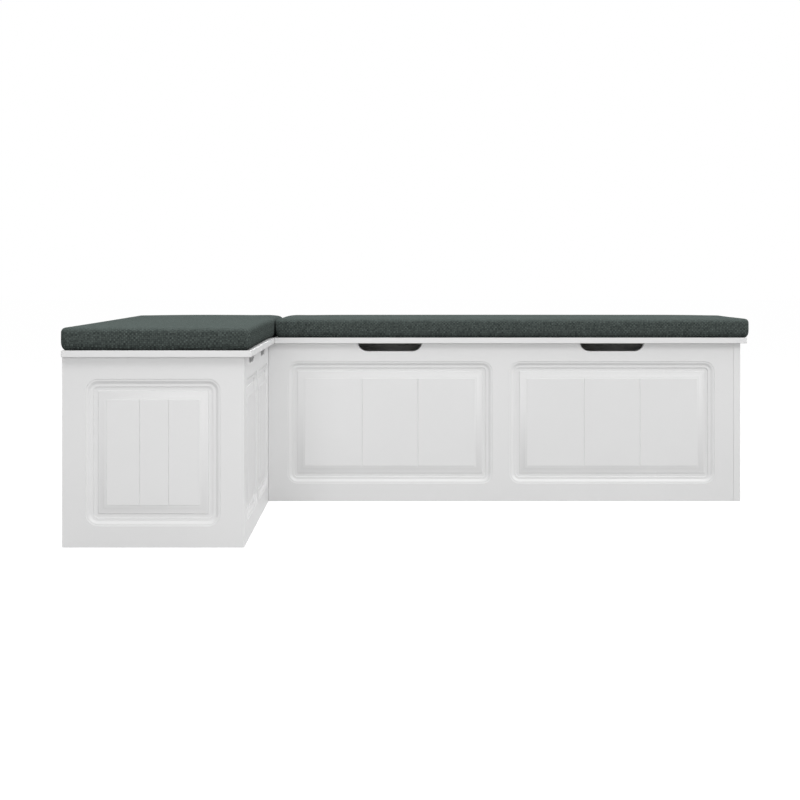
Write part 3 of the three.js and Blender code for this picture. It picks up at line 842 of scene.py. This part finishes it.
def hinge_leaf(name, side, first):
    """A hinge's leaf with its screws, its plate above the pin's axis where side is 1, below it where -1."""
    near = side * LEAF_LEVEL
    low, high = sorted((near, near + side * LEAF_T))
    leaf = cube(name, (0, -LEAF_DEPTH, low), (HINGE_LENGTH, 0, high))

    def is_plate_corner(edge):
        a, b = (vert.co for vert in edge.verts)
        return abs(a.z - b.z) > MM and a.y < -MM

    def is_rim(edge):
        a, b = (vert.co for vert in edge.verts)
        out = math.hypot(a.y - AXIS_OUT, a.z)
        return is_sharp(edge) and abs(a.x - b.x) < TOUCH and out > KNUCKLE_R * KNUCKLE_RIM and a.y > 0

    round_edges(leaf, LEAF_CORNER_R, segments=6, test=is_plate_corner)
    pitch = HINGE_LENGTH / KNUCKLES
    for i in range(first, KNUCKLES, 2):
        start = i * pitch + KNUCKLE_GAP / 2
        end = (i + 1) * pitch - KNUCKLE_GAP / 2
        knuckle = rod("knuckle", KNUCKLE_R, (start, AXIS_OUT, 0), (end, AXIS_OUT, 0))
        round_edges(knuckle, KNUCKLE_EDGE_R, segments=2, test=is_rim)
        carve(leaf, cube("tongue", (start, -OVERCUT, low), (end, AXIS_OUT, high)), "UNION")
        carve(leaf, knuckle, "UNION")
    bore = (-OVERCUT, AXIS_OUT, 0), (HINGE_LENGTH + OVERCUT, AXIS_OUT, 0)
    carve(leaf, rod("bore", KNUCKLE_BORE_R, *bore))
    screws = []
    for x in SCREW_PLACES:
        face = Vector((x, -SCREW_FROM_EDGE, near))
        out = Vector((0, 0, -side))
        wide = SCREW_R + SCREW_GAP + OVERCUT
        reach = SCREW_SINK + OVERCUT
        sink = rod("sink", wide, face + out * OVERCUT, face - out * SCREW_SINK, tip=wide - reach)
        carve(leaf, sink)
        screws.append(cross_screw(face - out * SCREW_GAP, (math.pi if side > 0 else 0, 0, 0)))
    shade(leaf)
    return joined([leaf, *screws])


def hinge_pin():
    """The pin, with a domed head at each end."""
    start = -KNUCKLE_GAP / 2
    end = HINGE_LENGTH + KNUCKLE_GAP / 2
    pin = rod("pin", PIN_R, (start - PIN_HEAD_T / 2, AXIS_OUT, 0), (end + PIN_HEAD_T / 2, AXIS_OUT, 0))
    for face, tip in ((start, start - PIN_HEAD_T), (end, end + PIN_HEAD_T)):

        def is_tip(edge):
            return is_sharp(edge) and abs(middle_of(edge).x - tip) < TOUCH

        head = rod("head", PIN_HEAD_R, (face, AXIS_OUT, 0), (tip, AXIS_OUT, 0))
        round_edges(head, DOME_SHARE * PIN_HEAD_T, test=is_tip)
        carve(pin, head, "UNION")
    shade(pin)
    return pin


def hinges(material):
    """Six butt hinges: each part is modelled once, and set down at its solids' places."""
    forms = {
        "box_leaf": hinge_leaf("box_leaf_form", -1, 0),
        "lid_leaf": hinge_leaf("lid_leaf_form", 1, 1),
        "pin": hinge_pin(),
    }
    for side in ("left", "right"):
        for i in (1, 2, 3):
            stem = f"{side}_hinge_{i}_"
            low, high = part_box(stem + "box_leaf")
            axis = sum(corner.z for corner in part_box(stem + "pin")) / 2
            if side == "left":
                place = (high.x - LEAF_DEPTH, low.y, axis)
                turn = math.pi / 2
            else:
                place = (low.x, low.y + LEAF_DEPTH, axis)
                turn = 0
            for part, form in forms.items():
                made = set_down(form, stem + part + "_detailed", turn, place)
                dress(made, stem + part, material)
    for form in forms.values():
        discard(form)


def socket_head(name, shank_r, length, bore=None):
    """A broad domed head with a hexagon socket, which faces -X, on a shank or on a bored sleeve."""
    piece = rod(name, BOLT_HEAD_R, (0, 0, 0), (BOLT_HEAD_T, 0, 0))

    def is_face_rim(edge):
        return is_sharp(edge) and middle_of(edge).x < MM

    round_edges(piece, BOLT_HEAD_T * BOLT_DOME_SHARE, test=is_face_rim)
    carve(piece, rod("shank", shank_r, (BOLT_HEAD_T / 2, 0, 0), (length, 0, 0)), "UNION")
    carve(piece, rod("socket", HEX_R, (-OVERCUT, 0, 0), (HEX_DEPTH, 0, 0), sides=6))
    if bore:
        carve(piece, rod("bore", bore, (SLEEVE_BORE_FROM, 0, 0), (length + OVERCUT, 0, 0)))
    shade(piece)
    return piece


def box_bolts(material):
    """The four bolts that hold the two boxes together, and their sleeve nuts."""
    low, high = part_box("box_bolt_1")
    bolt = socket_head("bolt_form", BOLT_R, high.x - low.x)
    low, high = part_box("box_sleeve_nut_1")
    sleeve = socket_head("sleeve_form", SLEEVE_R, high.x - low.x, SLEEVE_BORE_R)
    for i in (1, 2, 3, 4):
        for node, form in ((f"box_bolt_{i}", bolt), (f"box_sleeve_nut_{i}", sleeve)):
            low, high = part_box(node)
            middle = (low + high) / 2
            turn, end = (math.pi, high.x) if form is bolt else (0, low.x)
            made = set_down(form, node + "_detailed", turn, (end, middle.y, middle.z))
            dress(made, node, material)
    discard(bolt)
    discard(sleeve)


def block_form(plastic, zinc):
    """A moulded corner block with its corner at the origin, and a screw in a pocket into each board."""
    block = cube("block_form", (0, 0, 0), (BLOCK_SIDE, BLOCK_SIDE, BLOCK_HEIGHT))
    far = BLOCK_SIDE - MM

    def is_far_upright(edge):
        return all(vert.co.x > far and vert.co.y > far for vert in edge.verts)

    round_edges(block, BLOCK_CHAMFER, segments=1, test=is_far_upright)
    sharp = math.radians(BLOCK_SHARP_ANGLE)
    round_edges(block, BLOCK_EDGE_R, test=lambda edge: edge.calc_face_angle(0) > sharp)
    block.data.materials.append(plastic)
    screws = []
    across = (BLOCK_SIDE - BLOCK_CHAMFER) / 2
    floor = BLOCK_SIDE - POCKET_DEPTH
    ways = (
        ((floor, across, BLOCK_SCREWS[0]), (1, 0, 0), (0, math.pi / 2, 0)),
        ((across, floor, BLOCK_SCREWS[1]), (0, 1, 0), (-math.pi / 2, 0, 0)),
    )
    for place, out, turn in ways:
        face = Vector(place)
        carve(block, rod("pocket", POCKET_R, face, face + Vector(out) * (POCKET_DEPTH + OVERCUT)))
        screw = cross_screw(place, turn, dome=SCREW_DOME)
        screw.data.materials.append(zinc)
        screws.append(screw)
    shade(block)
    return joined([block, *screws])


def corner_blocks(plastic, zinc):
    form = block_form(plastic, zinc)
    turns = {(True, True): 0, (False, True): 1, (False, False): 2, (True, False): 3}
    for side in ("left", "right"):
        inside = sum(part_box(side + "_bottom_board"), Vector()) / 2
        for i in (1, 2, 3, 4):
            node = f"{side}_corner_block_{i}"
            low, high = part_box(node)
            at_low = (low.x < inside.x, low.y < inside.y)
            place = (low.x if at_low[0] else high.x, low.y if at_low[1] else high.y, low.z)
            made = set_down(form, node + "_moulded", turns[at_low] * math.pi / 2, place)
            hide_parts(node)
            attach(made, frame["nodes"][node]["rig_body"])
    discard(form)


def roll(width, height):
    """The steps of a quarter turn from a wall into a flat: (inset, rise) of each."""
    turn = [i / ROLL_SEGMENTS * math.pi / 2 for i in range(ROLL_SEGMENTS + 1)]
    places = [(width * (1 - math.cos(angle)), height * math.sin(angle)) for angle in turn]
    return [(b[0] - a[0], b[1] - a[1]) for a, b in zip(places, places[1:])]


def slack_cushion(name, low, high):
    """The cushion before it swells: a slab on a rounded outline, with a rolled foot and top edge."""
    edge = low.z + CUSHION_EDGE
    foot = low.z + CUSHION_FOOT_RISE
    middle = (low + high) / 2
    deselect()
    bpy.ops.mesh.primitive_plane_add(size=1, location=(middle.x, middle.y, foot))
    piece = bpy.context.object
    piece.name = name
    piece.scale = (high.x - low.x, high.y - low.y, 1)
    settle(piece)
    start_shape(piece, CUSHION_PLAN_R, PLAN_SEGMENTS)
    wall = (edge - CUSHION_TOP_R - foot) / WALL_STEPS
    for _ in range(WALL_STEPS):
        bpy.ops.mesh.extrude_region_move(TRANSFORM_OT_translate={"value": (0, 0, wall)})
    bpy.ops.mesh.select_all(action="SELECT")
    bpy.ops.mesh.normals_make_consistent(inside=False)
    choose(piece, "faces", lambda face: face.normal.z > FLAT)
    for inset, rise in roll(CUSHION_TOP_R, CUSHION_TOP_R):
        bpy.ops.mesh.inset(thickness=inset, depth=rise)
    choose(piece, "faces", lambda face: face.normal.z < -FLAT)
    for inset, rise in roll(CUSHION_FOOT_IN, CUSHION_FOOT_RISE):
        bpy.ops.mesh.inset(thickness=inset, depth=rise)
    for axis in (0, 1):
        count = round((high[axis] - low[axis]) / CUSHION_GRID)
        normal = (1 - axis, axis, 0)
        for i in range(1, count):
            place = [0, 0, 0]
            place[axis] = low[axis] + (high[axis] - low[axis]) * i / count
            bpy.ops.mesh.select_all(action="SELECT")
            bpy.ops.mesh.bisect(plane_co=place, plane_no=normal)
    bpy.ops.object.mode_set(mode="OBJECT")
    return piece


def values_of(items, field, kind=float, size=1):
    """What a mesh stores under a name for each of its items: a value, or a row of them."""
    values = np.zeros(len(items) * size, kind)
    items.foreach_get(field, values)
    return values.reshape(-1, size) if size > 1 else values


def points_of(piece):
    return values_of(piece.data.vertices, "co", size=3)


def set_points(piece, points):
    piece.data.vertices.foreach_set("co", points.ravel())
    piece.data.update()


def swelling(piece):
    """Blows up an evenly meshed copy as cloth: where its points start, and how far each of them moves."""
    pick(piece)
    bpy.ops.object.duplicate()
    pad = bpy.context.object
    modify(pad, "REMESH", mode="VOXEL", voxel_size=CUSHION_VOXEL)
    slack = points_of(pad)
    bpy.ops.object.modifier_add(type="CLOTH")
    cover = pad.modifiers[-1]
    cover.settings.use_pressure = True
    cover.settings.uniform_pressure_force = CUSHION_PRESSURE
    cover.settings.effector_weights.gravity = 0
    for number in range(1, CUSHION_FRAMES + 1):
        bpy.context.scene.frame_set(number)
    bpy.ops.object.modifier_apply(modifier=cover.name)
    bpy.context.scene.frame_set(1)
    moves = points_of(pad) - slack
    discard(pad)
    return slack, moves


def puff(piece, slack, moves, crown):
    """Moves each point of the cushion as the cloth near it moved, so that its top rises by the crown."""
    tree = KDTree(len(slack))
    for i, place in enumerate(slack):
        tree.insert(place, i)
    tree.balance()
    moves = moves * (crown / moves[:, 2].max())
    moves *= np.minimum(1, CUSHION_CAP / np.maximum(np.linalg.norm(moves, axis=1, keepdims=True), TINY))
    points = points_of(piece)
    for i, place in enumerate(points):
        near = tree.find_n(place, NEIGHBOURS)
        weights = np.array([1 / (distance + MM) for _, _, distance in near])
        points[i] += weights @ moves[[index for _, index, _ in near]] / weights.sum()
    set_points(piece, points)


def ramp(values, start, end):
    """0 up to start, 1 from end on, and smooth between them."""
    share = np.clip((values - start) / (end - start), 0, 1)
    return share * share * (3 - 2 * share)


def fit(piece, low, high, seam):
    """Flattens the underside, fits the piece to its box, draws in its free sides and shapes the seam."""
    points = points_of(piece)
    points[:, 2] = np.maximum(points[:, 2], low.z)
    now_low = points.min(0)
    share = (points - now_low) / (points.max(0) - now_low)
    points = np.array(low) + share * np.array(high - low)
    size = np.array(high - low)
    centre = np.array(low + high) / 2
    is_left = high.x < seam.x
    side = np.sign(points[:, 0] - centre[0])
    pressed = ramp(points[:, 1], *SEAM_FRONT) * (side == (1 if is_left else -1))
    for axis, other in ((0, 1), (1, 0)):
        reach = (points[:, axis] - centre[axis]) / (size[axis] / 2)
        near_side = np.clip((np.abs(reach) - DRAW_IN_FROM) / (1 - DRAW_IN_FROM), 0, 1) ** 2
        along = np.sin(np.pi * share[:, other])
        if axis == 0:
            along *= 1 - pressed
            points[:, 0] += near_side * pressed * (SEAM_LINE - (high.x if is_left else low.x))
        points[:, axis] -= np.sign(reach) * near_side * along * CUSHION_DRAW_IN
    if not is_left:
        square_corner(points, share[:, 2], np.array(low))
    near_seam = np.clip(1 - np.abs(points[:, 0] - seam.x) / SEAM_REACH, 0, 1)
    behind = np.clip((points[:, 1] - seam.y) / SEAM_REACH, 0, 1)
    beside = 1 - ramp(np.abs(points[:, 0] - seam.x), *SEAM_FILL_REACH)
    fuller = points[:, 2] + SEAM_FILL * beside * behind * share[:, 2] ** 6
    points[:, 2] = np.minimum(fuller, high.z)
    back = (points[:, 1] - seam.y) / (high.y - seam.y)
    sink = 1 - np.sqrt(np.maximum(1 - (near_seam * behind) ** 2, 0))
    drop = SEAM_DROPS[0] + (SEAM_DROPS[1] - SEAM_DROPS[0]) * np.clip(back, 0, 1)
    points[:, 2] -= drop * sink * share[:, 2] ** 2
    set_points(piece, points)


def square_corner(points, height, low):
    """Fills out the upper part of the corner at the lowest X and Y, which the other cushion presses on."""
    within = CUSHION_PLAN_R - (points[:, :2] - low[:2])
    inside = (within > 0).all(1)
    distance = np.maximum(np.linalg.norm(within, axis=1), TINY)
    full = distance / np.maximum(within.max(1), TINY)
    share = ramp(height, *TIGHT_RISE) * np.clip(distance / CUSHION_PLAN_R, 0, 1)
    stretch = TIGHT_CORNER * share * (full - 1)
    points[inside, :2] -= within[inside] * stretch[inside, None]


def lay_cloth(piece, low, high):
    """A UV map in metres. The cloth runs over the top and down each side, and turns at the corners."""
    mesh = piece.data
    layer = mesh.uv_layers.new(name="cloth")
    x, y, _ = values_of(mesh.polygons, "center", size=3).T
    gaps = np.stack([x - low.x, high.x - x, y - low.y, high.y - y])
    nearest = np.repeat(gaps.argmin(0), values_of(mesh.polygons, "loop_total", np.int32))
    corner = points_of(piece)[values_of(mesh.loops, "vertex_index", np.int32)]
    drop = corner[:, 2] - high.z
    across = np.select([nearest == 0, nearest == 1], [drop, -drop], 0)
    along = np.select([nearest == 2, nearest == 3], [drop, -drop], 0)
    uv = np.stack([corner[:, 0] + across, corner[:, 1] + along], 1)
    layer.data.foreach_set("uv", uv.ravel())


def mark_upward(piece):
    """Stores how far each point faces up: 0 on the underside, 0.5 on the sides and 1 on top. The cloth's
    painted shade and painted light follow it.
    """
    rise = values_of(piece.data.vertices, "normal", size=3)[:, 2]
    layer = piece.data.attributes.new("upward", "FLOAT", "POINT")
    layer.data.foreach_set("value", 0.5 + 0.5 * rise)


def cushion(side, material):
    """A cushion: a slack slab, blown up as cloth, fitted to its solid's box and dressed."""
    node = side + "_cushion"
    low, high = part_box(node)
    low.z -= SIT_DOWN
    high += Vector((FULLER_END if side == "right" else 0, 0, FULLER_TOP))
    piece = slack_cushion(node + "_padded", low, high)
    slack, moves = swelling(piece)
    puff(piece, slack, moves, high.z - low.z - CUSHION_EDGE)
    modify(piece, "SUBSURF", levels=1, render_levels=1)
    fit(piece, low, high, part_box("right_cushion")[0])
    pick(piece)
    bpy.ops.object.shade_smooth()
    lay_cloth(piece, low, high)
    mark_upward(piece)
    dress(piece, node, material)


def new_camera():
    """The photograph's camera."""
    data = bpy.data.cameras.new("photograph_view")
    camera = bpy.data.objects.new("photograph_view", data)
    bpy.context.scene.collection.objects.link(camera)
    camera.location = CAMERA_PLACE
    camera.rotation_euler = (math.radians(90), 0, 0)
    data.lens = CAMERA_LENS
    data.shift_x, data.shift_y = CAMERA_SHIFT
    bpy.context.scene.camera = camera


def soft_light(name, place, target, size, power):
    """A square soft light at a place, turned towards a target."""
    data = bpy.data.lights.new(name, "AREA")
    data.size = size
    data.energy = power
    light = bpy.data.objects.new(name, data)
    bpy.context.scene.collection.objects.link(light)
    light.location = place
    light.rotation_euler = (Vector(target) - Vector(place)).to_track_quat("-Z", "Y").to_euler()


def seen_as_white(tree):
    """1 for what the camera sees directly, in metal or through glass, and 0 for light on the bench."""
    rays = add(tree, "ShaderNodeLightPath").outputs
    seen = calc(tree, "MAXIMUM", rays["Is Camera Ray"], rays["Is Glossy Ray"])
    return calc(tree, "MAXIMUM", seen, rays["Is Transmission Ray"])


def new_floor():
    """A pale floor that shows white to the camera, and keeps a soft share of the shadow."""
    deselect()
    bpy.ops.mesh.primitive_plane_add(size=FLOOR_SIZE, location=(0, 0, FLOOR_LEVEL))
    floor = settle(bpy.context.object)
    floor.name = "floor"
    material = bpy.data.materials.new("studio_floor")
    material.use_nodes = True
    tree = material.node_tree
    tree.nodes.clear()
    lit = add(tree, "ShaderNodeBsdfDiffuse", {"Color": (FLOOR_SHADOW, FLOOR_SHADOW, FLOOR_SHADOW, 1)})
    glow = add(tree, "ShaderNodeEmission", {"Color": (1, 1, 1, 1), "Strength": FLOOR_GLOW})
    shown = add(tree, "ShaderNodeAddShader", {0: lit.outputs[0], 1: glow.outputs[0]})
    bounce = add(tree, "ShaderNodeBsdfDiffuse", {"Color": grey(FLOOR_BOUNCE)})
    sides = {0: seen_as_white(tree), 1: bounce.outputs[0], 2: shown.outputs[0]}
    mix = add(tree, "ShaderNodeMixShader", sides)
    output = tree.nodes.new("ShaderNodeOutputMaterial")
    tree.links.new(mix.outputs[0], output.inputs["Surface"])
    floor.data.materials.append(material)


def new_world():
    """An even light all round, which shows white to the camera."""
    world = bpy.data.worlds.new("studio")
    bpy.context.scene.world = world
    world.use_nodes = True
    tree = world.node_tree
    tree.nodes.clear()
    fill = add(tree, "ShaderNodeBackground", {"Color": (1, 1, 1, 1), "Strength": WORLD_FILL})
    white = add(tree, "ShaderNodeBackground", {"Color": (1, 1, 1, 1), "Strength": 1.0})
    sides = {0: seen_as_white(tree), 1: fill.outputs[0], 2: white.outputs[0]}
    mix = add(tree, "ShaderNodeMixShader", sides)
    output = tree.nodes.new("ShaderNodeOutputWorld")
    tree.links.new(mix.outputs[0], output.inputs["Surface"])


bpy.context.scene.view_settings.view_transform = "Standard"
new_camera()
new_world()
new_floor()
for name, (place, size, power) in LAMPS.items():
    soft_light(name, place, LAMP_TARGET, size, power)

unevenness = unevenness_group()
weave = weave_group()
grain = grain_group()
satin = satin_white(unevenness)
melamine = melamine_white(unevenness)
cloth = woven_cloth(weave, unevenness)
pine_across = pine_wood(grain, "pine_across", False)
pine_deep = pine_wood(grain, "pine_deep", True)
zinc = zinc_steel(unevenness)
plastic = moulded_plastic(unevenness)

raised_panel("left_end_panel", "end", 1, False, satin)
raised_panel("left_front_panel", "front", 2, True, satin)
raised_panel("right_front_panel", "front", 2, False, satin)
raised_panel("right_end_panel", "end", 1, True, satin)

for side in ("left", "right"):
    lid_slab(side, satin)
    cushion(side, cloth)
    for name in ("_back_board", "_bottom_board", "_divider"):
        edged_board(side + name, melamine)
    for where in ("_batten_front", "_batten_back"):
        edged_board(side + where, pine_deep if side == "left" else pine_across)
for name in ("left_corner_board", "left_rear_board", "right_side_board"):
    edged_board(name, melamine)

corner_blocks(plastic, zinc)
hinges(zinc)
box_bolts(zinc)
